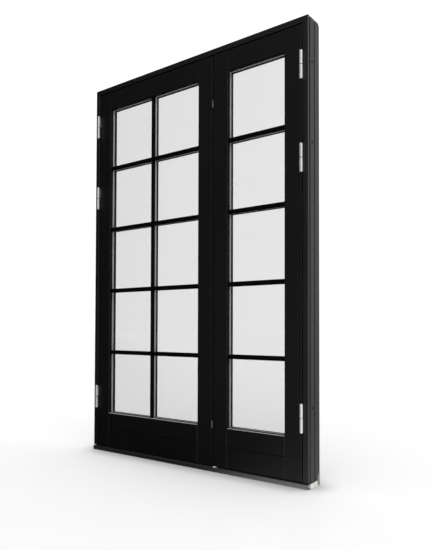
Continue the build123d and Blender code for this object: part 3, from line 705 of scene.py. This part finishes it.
@dataclass
class ScrewMaker:
    """Countersunk cross-head screws, modelled once and copied to each place."""

    head_radius: float = 3.6 * MM
    head_height: float = 1.1 * MM
    head_proud: float = 0.25 * MM
    rim_share: float = 0.16
    dish: float = 0.3 * MM
    cross_length: float = 4.2 * MM
    cross_width: float = 0.9 * MM
    cross_depth: float = 0.9 * MM
    sides: int = 20
    smooth_degrees: float = 35.0
    first_turn: float = 11.0
    next_turn: float = 37.0
    head: Optional[Thing] = None

    def model(self) -> None:
        """Models one head, looking up, with its rim's top at the origin's height."""
        head = add_round(self.head_radius, self.head_height, -self.head_height, self.sides)
        with editing(head, lambda polygon: polygon.normal.z > LOOKING):
            bpy.ops.mesh.inset(thickness=self.head_radius * self.rim_share)
            bpy.ops.transform.translate(value=(0.0, 0.0, self.dish))
        for size in ((self.cross_length, self.cross_width), (self.cross_width, self.cross_length)):
            self._cut(head, size)
        head.select_set(True)
        bpy.ops.object.shade_smooth_by_angle(angle=math.radians(self.smooth_degrees))
        self.head = head

    def _cut(self, head: Thing, size: Tuple[float, float]) -> None:
        """Cuts one slot of the cross.

        Args:
            head: The head that is cut.
            size: Length and width of the slot.
        """
        slot = add_block((size[0], size[1], self.cross_depth * 2), (0.0, 0.0, self.dish))
        bpy.context.view_layer.objects.active = head
        cutter = head.modifiers.new("cross", "BOOLEAN")
        cutter.object = slot
        cutter.operation = "DIFFERENCE"
        bpy.ops.object.modifier_apply(modifier=cutter.name)
        bpy.data.objects.remove(slot, do_unlink=True)

    def place(self, name: str, points: Sequence[Point], face: Face, body: str, material: Material,
              slot: str = "zinc_steel") -> None:
        """Drives a screw at each point, each with its cross turned another way.

        Args:
            name: Name of the piece.
            points: Places on the plate's surface.
            face: The way that the heads look.
            body: The body that they ride on.
            material: Their finish.
            slot: Not used.
        """
        lift = Matrix.Translation((0.0, 0.0, self.head_proud - self.dish))
        places = []
        for number, point in enumerate(points):
            spin = Matrix.Rotation(math.radians(self.first_turn + self.next_turn * number), 4, "Z")
            places.append(Matrix.Translation(point) @ face.turn() @ spin @ lift)
        place_copies(self.head, name, places, body, material)


@dataclass
class HingeTips(Assembly):
    """Low crowned caps that close the ends of the hinge barrels."""

    radius: float = 7.2 * MM
    height: float = 2.2 * MM
    sunk: float = 0.4 * MM
    rim_round: float = 1.5 * MM
    rim_steps: int = 4
    crown: float = 0.5 * MM
    crown_share: float = 0.4
    sides: int = 40
    smooth_degrees: float = 40.0

    def build(self) -> None:
        """Models one cap and closes every barrel with it."""
        tip = self._model()
        for side in Side:
            for half in (Half.LEAF, Half.FRAME):
                self._close(tip, HingeSet(side, half))
        bpy.data.objects.remove(tip, do_unlink=True)

    def _model(self) -> Thing:
        """Models one cap, looking up, with its foot a little below the origin.

        Returns:
            The cap's object.
        """
        tip = add_round(self.radius, self.height, -self.sunk, self.sides)
        with editing(tip, lambda polygon: polygon.normal.z > LOOKING):
            bpy.ops.mesh.bevel(offset=self.rim_round, segments=self.rim_steps, affect="EDGES")
        with editing(tip, lambda polygon: polygon.normal.z > SQUARE):
            bpy.ops.mesh.inset(thickness=self.radius * self.crown_share)
            bpy.ops.transform.translate(value=(0.0, 0.0, self.crown))
        bpy.ops.object.shade_smooth_by_angle(angle=math.radians(self.smooth_degrees))
        return tip

    def _close(self, tip: Thing, hinges: HingeSet) -> None:
        """Sets caps on the upper ends of a leaf's barrels or the lower ends of a jamb's.

        Args:
            tip: The modelled cap.
            hinges: The hinge halves that get them.
        """
        on_leaf = hinges.half is Half.LEAF
        turn = (Face.UP if on_leaf else Face.DOWN).turn()
        places = [Matrix.Translation((*hinges.axis(), top if on_leaf else bottom)) @ turn
                  for bottom, top in height_spans(hinges.node)]
        place_copies(tip, f"tips_{hinges.node}", places, hinges.body, self.finishes.made["zinc"])


@dataclass
class HingeWashers(Assembly):
    """Nylon washers on the pins, which fill the gap between the two barrels of each hinge."""

    radius: float = 6.9 * MM
    bore: float = 4.2 * MM
    play: float = 0.1 * MM
    sides: int = 40
    smooth_degrees: float = 40.0

    def build(self) -> None:
        """Models a washer for each side and seats it on every lower barrel there."""
        for side in Side:
            lower = HingeSet(side, Half.FRAME)
            heights = [corner.co.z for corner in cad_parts[lower.node].data.vertices]
            gaps = [(max(z for z in heights if z < bottom), bottom)
                    for bottom, _ in height_spans(HingeSet(side, Half.LEAF).node)]
            washer = self._model(gaps[0][1] - gaps[0][0] - self.play)
            places = [Matrix.Translation((*lower.axis(), seat)) for seat, _ in gaps]
            place_copies(washer, f"washers_{side.value}_hinges", places, lower.body,
                         self.finishes.made["nylon"])
            bpy.data.objects.remove(washer, do_unlink=True)

    def _model(self, height: float) -> Thing:
        """Models one washer that stands on the origin.

        Args:
            height: Its thickness.

        Returns:
            The washer's object.
        """
        washer = add_round(self.radius, height, 0.0, self.sides)
        with editing(washer, lambda polygon: abs(polygon.normal.z) > LOOKING):
            bpy.ops.mesh.inset(thickness=self.radius - self.bore)
            bpy.ops.mesh.bridge_edge_loops()
            bpy.ops.mesh.select_all(action="SELECT")
            bpy.ops.mesh.normals_make_consistent(inside=False)
        bpy.ops.object.shade_smooth_by_angle(angle=math.radians(self.smooth_degrees))
        return washer


@dataclass
class Frame(Assembly):
    """Jambs, head, sill, nosing and the hinge halves that stay on them."""

    upright: Tuple[str, ...] = ("left_jamb", "right_jamb")
    level: Tuple[str, ...] = ("head",)

    def dress(self) -> None:
        """Gives the frame's pieces their finishes."""
        self.finishes.dress({
            "frame_upright": self.upright, "frame_level": self.level, "sill": ("sill",),
            "stop": ("sill_stop",), "nosing": ("sill_nosing",), "rubber": ("frame_gasket",),
            "cast": ("flush_bolt_keeps",),
            "zinc": [HingeSet(side, Half.FRAME).node for side in Side]})


@dataclass
class GlazedLeaf(Assembly):
    """One leaf: its timber, its sealed glass unit and its hinge halves."""

    side: Side

    def _nodes(self, *pieces: str) -> List[str]:
        """Gives the node names of some of the leaf's pieces."""
        return [f"{self.side.value}_{piece}" for piece in pieces]

    def dress(self) -> None:
        """Gives the leaf's pieces their finishes."""
        sheets = self._nodes("outer_glass", "inner_glass")
        self.finishes.dress({
            "leaf_upright": self._nodes("hinge_stile", "meeting_stile"),
            "leaf_level": self._nodes("top_rail", "lower_rail", "bottom_rail"),
            "mouldings": self._nodes("outer_bars", "inner_bars", "glazing_beads"),
            "glass": sheets, "spacer": self._nodes("spacer"),
            "rubber": self._nodes("meeting_seal", "edge_seal"),
            "plastic": self._nodes("setting_blocks"), "zinc": self._nodes("leaf_hinges")})
        for sheet in sheets:
            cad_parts[sheet].visible_shadow = False
            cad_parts[sheet].visible_diffuse = False


@dataclass
class GlazingStrip(Assembly):
    """Narrow aluminium strip along the front of the sloping ledge under a leaf's glass."""

    side: Side
    ledge_fall: float = 5.5 * MM
    ledge_depth: float = 16.6 * MM
    glass_gap: float = 10.2 * MM
    front_gap: float = 2.4 * MM
    thickness: float = 1.0 * MM
    end_gap: float = 0.4 * MM
    edge_round: float = 0.4 * MM
    edge_steps: int = 2

    def build(self) -> None:
        """Models the strip on its ledge."""
        side = self.side.value
        rail_low, rail_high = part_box(f"{side}_lower_rail")
        sight_low, sight_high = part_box(f"{side}_outer_bars")
        glass_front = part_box(f"{side}_outer_glass")[0].y
        slope = self.ledge_fall / self.ledge_depth
        front = rail_low.y + self.front_gap
        back = glass_front - self.glass_gap
        back_z = rail_high.z - slope * self.glass_gap
        length = sight_high.x - sight_low.x - 2 * self.end_gap
        strip = add_block(
            (length, back - front, self.thickness),
            ((sight_low.x + sight_high.x) / 2, (front + back) / 2, back_z + self.thickness / 2))
        with editing(strip, lambda polygon: polygon.normal.y < -LOOKING):
            bpy.ops.transform.translate(value=(0.0, 0.0, -slope * (back - front)))
            bpy.ops.mesh.bevel(offset=self.edge_round, segments=self.edge_steps, affect="EDGES")
        strip.name = f"{side}_glazing_strip"
        strip.data.name = strip.name
        strip.data.materials.append(self.finishes.made["strip"])
        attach(strip, f"{side}_leaf")
        LOG.info("%s: on %s_leaf", strip.name, side)


@dataclass
class Lock(Assembly):
    """The lever, its gear and the bolts of both leaves."""

    bright: Tuple[str, ...] = (
        "lock_faceplate", "gear_case", "pinion", "spindle", "drive_rod", "lower_bolt", "upper_bolt",
        "bolt_keeps", "flush_bolt_plates", "top_flush_bolt", "bottom_flush_bolt")

    def dress(self) -> None:
        """Gives the lock's pieces their finishes."""
        self.finishes.dress({
            "zinc": self.bright, "satin": ("handle_lever", "handle_rose"),
            "plastic": ("meeting_pads",)})


@dataclass
class Fastenings(Assembly):
    """The screws that hold hinges, plates and keeps."""

    hinge_shares: Tuple[float, ...] = (-0.34, 0.0, 0.34)
    hinge_back: float = 9.0 * MM
    hinge_plate: float = 54.0 * MM
    frame_plate_middle: float = 33.0 * MM
    faceplate_shares: Tuple[float, ...] = (0.006, 0.2, 0.42, 0.62, 0.82, 0.994)
    rose_inset: float = 17.0 * MM
    plate_inset: float = 6.5 * MM
    keep_insets: Tuple[float, float] = (14.0 * MM, 7.5 * MM)
    maker: ScrewMaker = field(default_factory=ScrewMaker)

    def build(self) -> None:
        """Places every set of screws."""
        self.maker.model()
        for side in Side:
            for half in Half:
                self._hinges(HingeSet(side, half))
        self._faceplate()
        for node in ("bolt_keeps", "flush_bolt_plates"):
            self._edge_plates(node)
        self._round_keeps()
        self._rose()
        bpy.data.objects.remove(self.maker.head, do_unlink=True)

    @property
    def steel(self) -> Material:
        """Finish of all screws but the lever plate's."""
        return self.finishes.made["zinc"]

    def _hinges(self, hinges: HingeSet) -> None:
        """Screws one leaf's or jamb's hinge plates to the timber.

        Args:
            hinges: The hinge halves that are screwed.
        """
        low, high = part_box(hinges.node)
        stile_low, stile_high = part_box(f"{hinges.side.value}_hinge_stile")
        on_left, on_leaf = hinges.side is Side.LEFT, hinges.half is Half.LEAF
        edge = stile_low.x if on_left else stile_high.x
        x = edge if on_leaf else low.x + high.x - edge
        y = high.y - self.hinge_back
        points = []
        for bottom, top in height_spans(hinges.node):
            middle = (bottom + top) / 2 if on_leaf else bottom + self.frame_plate_middle
            points += [(x, y, middle + share * self.hinge_plate) for share in self.hinge_shares]
        face = Face.LEFT if on_left == on_leaf else Face.RIGHT
        self.maker.place(f"screws_{hinges.node}", points, face, hinges.body, self.steel)

    def _faceplate(self) -> None:
        """Screws the lock's faceplate to the meeting stile."""
        low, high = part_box("lock_faceplate")
        y = (low.y + high.y) / 2
        points = [(high.x, y, low.z + share * (high.z - low.z)) for share in self.faceplate_shares]
        self.maker.place("screws_lock_faceplate", points, Face.RIGHT, "left_leaf", self.steel)

    def _rose(self) -> None:
        """Screws the lever's plate to the meeting stile."""
        low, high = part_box("handle_rose")
        x = (low.x + high.x) / 2
        points = [(x, high.y, low.z + self.rose_inset), (x, high.y, high.z - self.rose_inset)]
        self.maker.place("screws_handle_rose", points, Face.ROOM, "left_leaf",
                         self.finishes.made["satin"], "satin_steel")

    def _edge_plates(self, node: str) -> None:
        """Screws the plates in the passive leaf's meeting edge at both ends.

        Args:
            node: The plates' node.
        """
        low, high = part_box(node)
        y = (low.y + high.y) / 2
        points = []
        for bottom, top in height_spans(node):
            points += [(low.x, y, bottom + self.plate_inset), (low.x, y, top - self.plate_inset)]
        self.maker.place(f"screws_{node}", points, Face.LEFT, "right_leaf", self.steel)

    def _round_keeps(self) -> None:
        """Screws the flush bolts' keeps to the sill and the head, before and behind the bolt."""
        low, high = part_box("flush_bolt_keeps")
        x = (low.x + high.x) / 2
        front, back = self.keep_insets
        sill_keep, head_keep = height_spans("flush_bolt_keeps")
        for name, z, face in (("sill", sill_keep[1], Face.UP), ("head", head_keep[0], Face.DOWN)):
            points = [(x, low.y + front, z), (x, high.y - back, z)]
            self.maker.place(f"screws_{name}_keep", points, face, "frame", self.steel)


@dataclass
class Studio:
    """Floor, light and camera.

    The studio is white to the eye. Paint and metal mirror a room and a floor that are bright on
    the right and dim on the left: each of those pairs is a place or a direction and its brightness.
    """

    camera_place: Point = (1.8578, -2.2575, 0.6986)
    camera_reach: float = 200.0
    yaw_degrees: float = 36.697
    pitch_degrees: float = 1.364
    roll_degrees: float = -0.149
    focal_pixels: float = 563.74
    drop_pixels: float = 40.22
    sensor_mm: float = 36.0
    floor_size: float = 120.0
    floor_colour: str = "F2F2F2"
    floor_glow: float = 0.06
    floor_roughness: float = 0.12
    floor_polish: float = 0.06
    contact_reach: float = 0.12
    contact_samples: int = 8
    contact_colour: str = "AEAEAE"
    contact_range: Range = (0.45, 1.0)
    floor_way: Point = (1.0, 0.1, 0.0)
    far_left_floor: Range = (-1.6, 0.015)
    left_floor: Range = (-0.5, 0.02)
    middle_floor: Range = (0.1, 0.0)
    right_floor: Range = (1.1, 0.91)
    back_floor: Range = (0.8, 0.55)
    front_floor_way: Point = (0.105, -0.12, 0.0)
    front_floor: float = 0.3
    room_colour: str = "FFFFFF"
    room_way: Point = (0.85, 0.5, -0.6)
    dim_room: float = -0.7
    left_room: Range = (-0.75, 0.0)
    front_room: Range = (-0.45, 0.2)
    bright_room: Range = (0.5, 0.78)
    ambient: float = 0.95
    backdrop: float = 1.08
    key_strength: float = 0.8
    key_angle: float = 60.0
    key_turn: Point = (38.0, 0.0, 35.0)

    def build(self) -> None:
        """Sets floor, world, lamp and camera."""
        self._floor()
        self._world()
        self._lamp()
        self._camera()

    def _straight(self, tree: Tree, rays: Mapping[str, Socket]) -> Socket:
        """Gives 1 on rays that come straight from the camera, also through glass.

        Args:
            tree: The tree that takes the node.
            rays: The outputs of its Light Path node.

        Returns:
            The socket.
        """
        seen = add_node(tree, "ShaderNodeMath", {
            0: rays["Is Camera Ray"], 1: rays["Is Transmission Ray"]}, operation="MAXIMUM")
        first = add_node(tree, "ShaderNodeMath", {
            0: rays["Glossy Depth"], 1: NO_BOUNCE}, operation="LESS_THAN")
        return add_node(tree, "ShaderNodeMath", {0: seen, 1: first}, operation="MULTIPLY")

    def _floor(self) -> None:
        """Lays a wide pale floor."""
        bpy.ops.object.select_all(action="DESELECT")
        bpy.ops.mesh.primitive_plane_add(size=self.floor_size, location=(0.0, 0.0, 0.0))
        floor = bpy.context.object
        floor.name = "studio_floor"
        floor.data.materials.append(self._floor_finish())

    def _floor_finish(self) -> Material:
        """Builds the floor's matt white with a faint polish and a soft shadow where things stand.

        Returns:
            The material.
        """
        material, tree, coords = new_material("pale_polished_studio_floor")
        rays = add_node(tree, "ShaderNodeLightPath").node.outputs
        clear = add_node(tree, "ShaderNodeAmbientOcclusion", {
            "Distance": self.contact_reach}, take="AO", samples=self.contact_samples)
        open_sky = add_node(tree, "ShaderNodeMapRange", {
            "Value": clear, "From Min": self.contact_range[0], "From Max": self.contact_range[1]})
        colour = add_node(tree, "ShaderNodeMix", {
            FACTOR: open_sky, COLOUR_A: linear(self.contact_colour),
            COLOUR_B: linear(self.floor_colour)}, take=MIXED_COLOUR, data_type="RGBA")
        matt = add_node(tree, "ShaderNodeBsdfDiffuse", {"Color": colour})
        straight = self._straight(tree, rays)
        strength = add_node(tree, "ShaderNodeMath", {
            0: straight, 1: self.floor_glow}, operation="MULTIPLY")
        glow = add_node(tree, "ShaderNodeEmission", {"Strength": strength})
        lit = add_node(tree, "ShaderNodeAddShader", {0: matt, 1: glow})
        polish = add_node(tree, "ShaderNodeBsdfGlossy", {"Roughness": self.floor_roughness})
        seen = add_node(tree, "ShaderNodeMixShader", {FACTOR: self.floor_polish, 1: lit, 2: polish})
        mirrored = add_node(tree, "ShaderNodeEmission", {
            "Strength": self._mirrored_floor(tree, coords)})
        bounced = add_node(tree, "ShaderNodeMath", {
            0: rays["Is Glossy Ray"], 1: straight}, operation="SUBTRACT", use_clamp=True)
        shown = add_node(tree, "ShaderNodeMixShader", {FACTOR: bounced, 1: seen, 2: mirrored})
        close_material(tree, shown)
        return material

    def _mirrored_floor(self, tree: Tree, coords: Socket) -> Socket:
        """Gives the floor's brightness in paint and metal.

        Args:
            tree: The floor material's tree.
            coords: Object coordinates.

        Returns:
            The brightness.
        """
        across = add_node(tree, "ShaderNodeVectorMath", {
            0: coords, 1: self.floor_way}, "Value", operation="DOT_PRODUCT")
        left = add_node(tree, "ShaderNodeMapRange", {
            "Value": across, "From Min": self.far_left_floor[0], "From Max": self.left_floor[0],
            "To Min": self.far_left_floor[1], "To Max": self.left_floor[1]})
        depth = add_node(tree, "ShaderNodeSeparateXYZ", {"Vector": coords}, "Y")
        most = add_node(tree, "ShaderNodeMapRange", {
            "Value": depth, "From Min": 0.0, "From Max": self.back_floor[0],
            "To Min": self.right_floor[1], "To Max": self.back_floor[1]})
        right = add_node(tree, "ShaderNodeMapRange", {
            "Value": across, "From Min": self.middle_floor[0], "From Max": self.right_floor[0],
            "To Min": self.middle_floor[1], "To Max": most})
        outward = add_node(tree, "ShaderNodeVectorMath", {
            0: coords, 1: self.front_floor_way}, "Value", operation="DOT_PRODUCT")
        front = add_node(tree, "ShaderNodeClamp", {"Value": outward, "Max": self.front_floor})
        sides = add_node(tree, "ShaderNodeMath", {0: left, 1: right}, operation="ADD")
        return add_node(tree, "ShaderNodeMath", {0: sides, 1: front}, operation="ADD")

    def _world(self) -> None:
        """Fills the room with soft light, which paint and metal see dim on the left."""
        world = bpy.data.worlds.new("studio_room")
        bpy.context.scene.world = world
        world.use_nodes = True
        tree = world.node_tree
        tree.nodes.clear()
        way = add_node(tree, "ShaderNodeTexCoord", take="Generated")
        turned = add_node(tree, "ShaderNodeVectorMath", {
            0: way, 1: self.room_way}, "Value", operation="DOT_PRODUCT")
        aside = add_node(tree, "ShaderNodeSeparateXYZ", {"Vector": way}, "X")
        dim = add_node(tree, "ShaderNodeMapRange", {
            "Value": aside, "From Min": self.left_room[0], "From Max": self.front_room[0],
            "To Min": self.left_room[1], "To Max": self.front_room[1]})
        room = add_node(tree, "ShaderNodeMapRange", {
            "Value": turned, "From Min": self.dim_room, "From Max": self.bright_room[0],
            "To Min": dim, "To Max": self.bright_room[1]})
        rays = add_node(tree, "ShaderNodeLightPath").node.outputs
        mirrored = add_node(tree, "ShaderNodeMix", {
            FACTOR: rays["Is Glossy Ray"], NUMBER_A: self.ambient, NUMBER_B: room},
            data_type="FLOAT")
        level = add_node(tree, "ShaderNodeMix", {
            FACTOR: self._straight(tree, rays), NUMBER_A: mirrored, NUMBER_B: self.backdrop},
            data_type="FLOAT")
        shown = add_node(tree, "ShaderNodeBackground", {
            "Color": linear(self.room_colour), "Strength": level})
        add_node(tree, "ShaderNodeOutputWorld", {"Surface": shown})

    def _lamp(self) -> None:
        """Hangs one very wide soft lamp above and to the right."""
        data = bpy.data.lights.new("soft_key", "SUN")
        data.energy = self.key_strength
        data.angle = math.radians(self.key_angle)
        lamp = bpy.data.objects.new("soft_key", data)
        lamp.rotation_euler = [math.radians(a) for a in self.key_turn]
        bpy.context.scene.collection.objects.link(lamp)

    def _camera(self) -> None:
        """Sets the camera where the photograph was taken from."""
        data = bpy.data.cameras.new("studio_camera")
        data.sensor_width = self.sensor_mm
        data.lens = self.focal_pixels * self.sensor_mm / IMAGE_LONG_SIDE
        data.shift_y = self.drop_pixels / IMAGE_LONG_SIDE
        data.clip_end = self.camera_reach
        camera = bpy.data.objects.new("studio_camera", data)
        turn = (Matrix.Rotation(math.radians(self.yaw_degrees), 4, "Z")
                @ Matrix.Rotation(math.radians(90.0 + self.pitch_degrees), 4, "X")
                @ Matrix.Rotation(math.radians(-self.roll_degrees), 4, "Z"))
        camera.matrix_world = Matrix.Translation(self.camera_place) @ turn
        bpy.context.scene.collection.objects.link(camera)
        bpy.context.scene.camera = camera
        bpy.context.scene.view_settings.view_transform = "Standard"


def main() -> None:
    """Builds the door set's pieces in order."""
    finishes = Finishes()
    finishes.build()
    Frame(finishes).dress()
    for side in Side:
        GlazedLeaf(finishes, side).dress()
        GlazingStrip(finishes, side).build()
    Lock(finishes).dress()
    Fastenings(finishes).build()
    HingeTips(finishes).build()
    HingeWashers(finishes).build()
    Studio().build()


if __name__ == "__main__":
    main()
